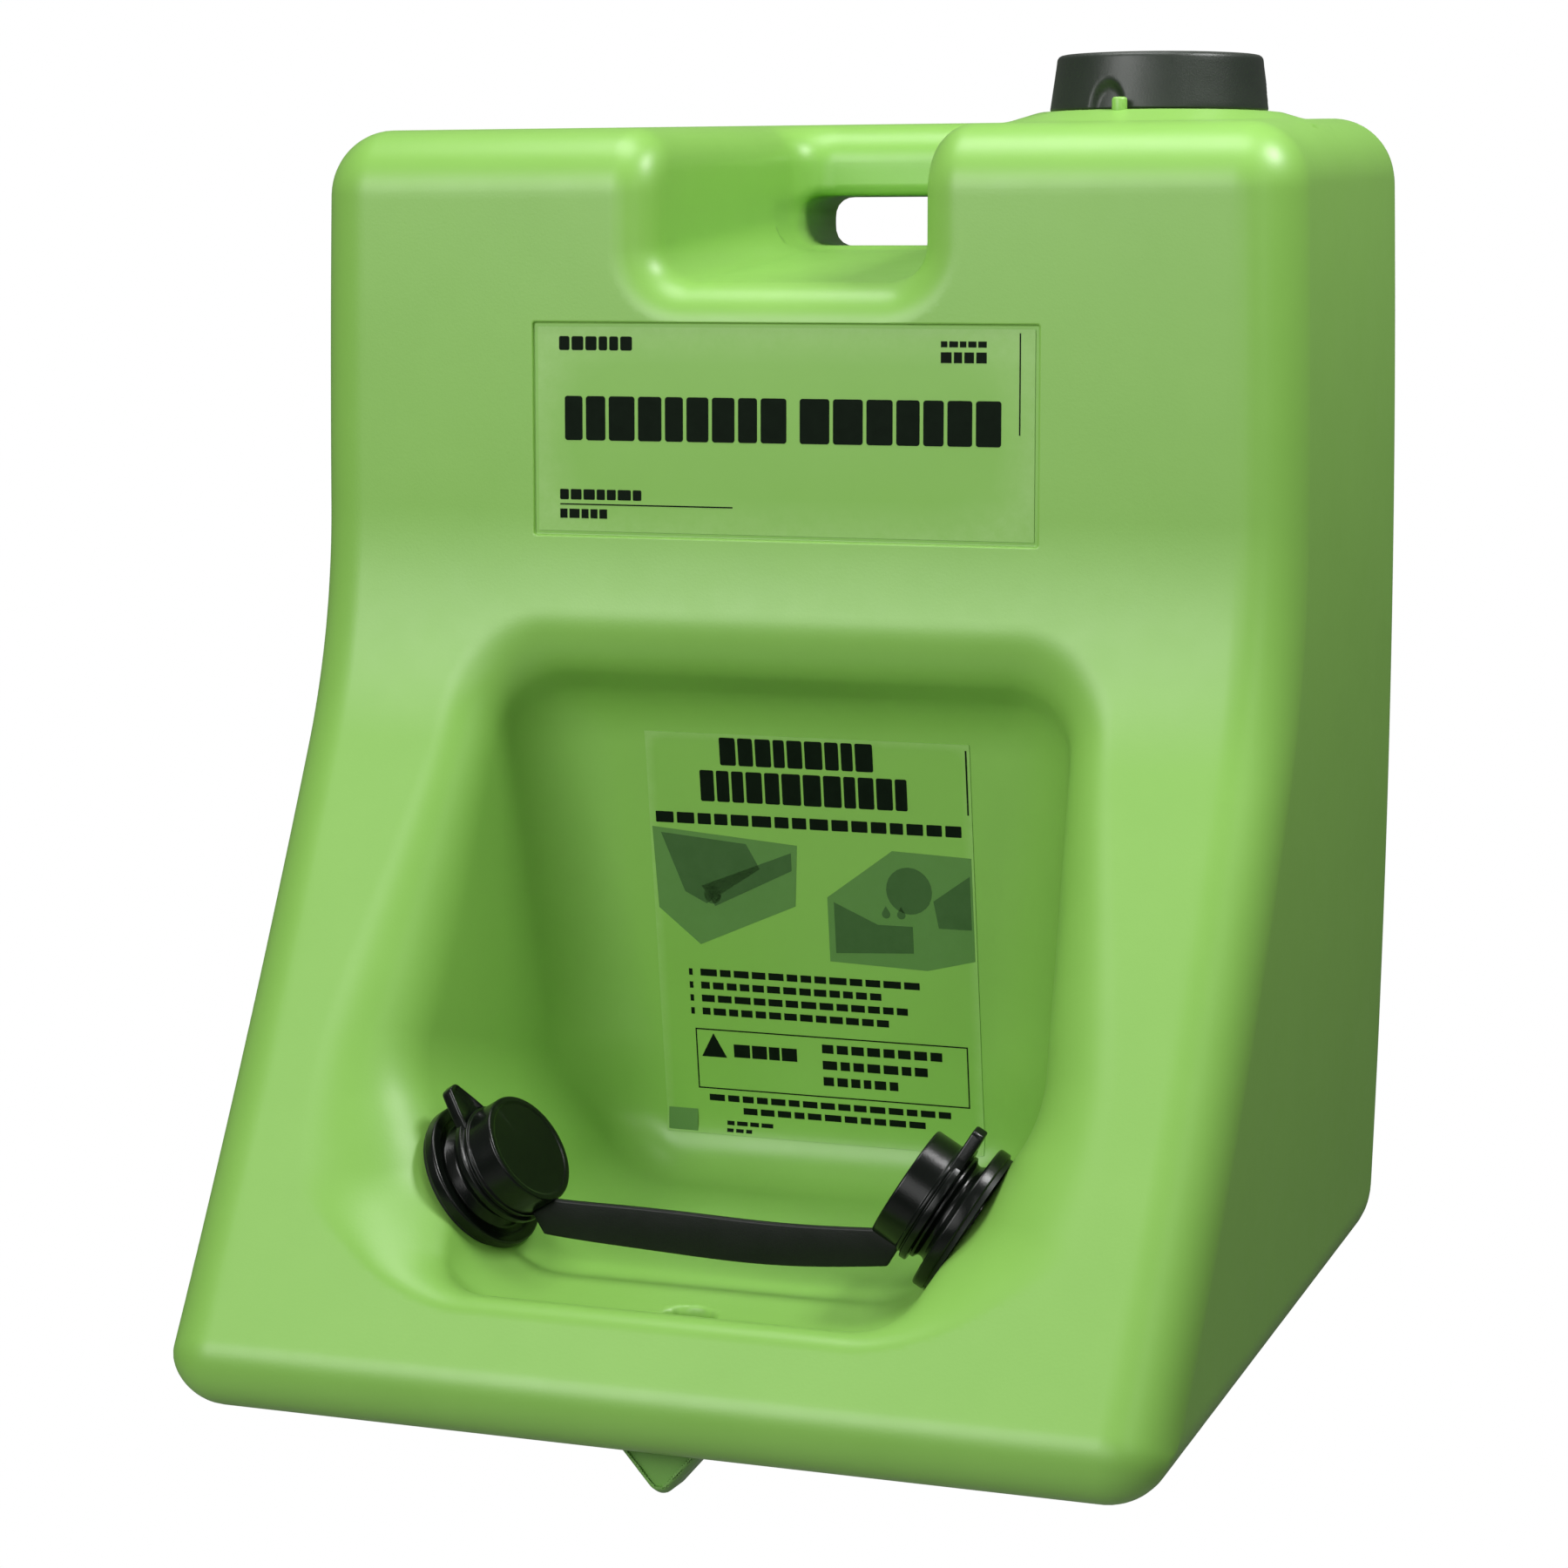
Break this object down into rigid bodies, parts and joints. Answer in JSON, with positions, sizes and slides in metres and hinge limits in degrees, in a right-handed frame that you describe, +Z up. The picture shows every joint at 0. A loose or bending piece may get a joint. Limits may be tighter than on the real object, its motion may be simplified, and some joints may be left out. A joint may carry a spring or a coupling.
{
  "type": "emergency eyewash tank",
  "caption": "Portable gravity-fed emergency eyewash: green moulded tank with a basin, angled nozzles closed by caps joined with a pull strap, a screw fill cap and a hand grip.",
  "frame": {"origin": "back plane of the tank, on the centre line, at the upper lip of the wall bracket pocket", "axes": "+Z up, +Y out of the back towards the wall, -Y to the user, +X to the side of the fill cap"},
  "size_m": [0.445, 0.3733, 0.5812],
  "materials": {
    "tank_green": "satin rotationally moulded polyethylene",
    "spout_green": "satin moulded polyethylene",
    "black_plastic": "satin moulded polypropylene",
    "black_rubber": "matt moulded rubber",
    "white_plastic": "natural moulded acetal",
    "steel_screen": "perforated stainless steel",
    "label_film": "printed film"
  },
  "bodies": {
    "tank": {"tank_shell": "tank_green", "drip_spout": "spout_green", "drain_strainer": "steel_screen", "front_label": "label_film", "instruction_decal": "label_film", "nozzle_body_left": "black_plastic", "nozzle_gasket_left": "black_rubber", "nozzle_locknut_left": "black_plastic", "flow_insert_left": "white_plastic", "spray_disc_left": "steel_screen", "inlet_strainer_left": "white_plastic", "nozzle_body_right": "black_plastic", "nozzle_gasket_right": "black_rubber", "nozzle_locknut_right": "black_plastic", "flow_insert_right": "white_plastic", "spray_disc_right": "steel_screen", "inlet_strainer_right": "white_plastic"},
    "cap_left": {"nozzle_cap_left": "black_plastic", "cap_seal_left": "black_rubber", "pull_strap": "black_rubber"},
    "cap_right": {"nozzle_cap_right": "black_plastic", "cap_seal_right": "black_rubber"},
    "fill_liner": {"fill_cap_gasket": "black_rubber"},
    "fill_lid": {"fill_cap": "black_plastic", "vent_valve": "black_rubber", "vent_screen": "steel_screen"}
  },
  "joints": [
    {"name": "left_cap_pull", "type": "slide", "parent": "tank", "child": "cap_left", "axis": [0.8404, -0.1062, 0.5314], "range_m": [0, 0.016], "deforming": ["pull_strap"]},
    {"name": "right_cap_pull", "type": "slide", "parent": "cap_left", "child": "cap_right", "axis": [-1, 0, 0], "range_m": [0, 0.02694]},
    {"name": "fill_cap_lift", "type": "slide", "parent": "tank", "child": "fill_liner", "axis": [0, 0, 1], "range_m": [0, 0.01205]},
    {"name": "fill_cap_turn", "type": "hinge", "parent": "fill_liner", "child": "fill_lid", "pos_m": [0.135, -0.105, 0.16], "axis": [0, 0, 1], "range_deg": [0, 720]}
  ],
  "couplings": [
    {"joint": "right_cap_pull", "follows": "left_cap_pull", "ratio": 1.6809},
    {"joint": "fill_cap_lift", "follows": "fill_cap_turn", "m_per_rad": 0.000955}
  ]
}
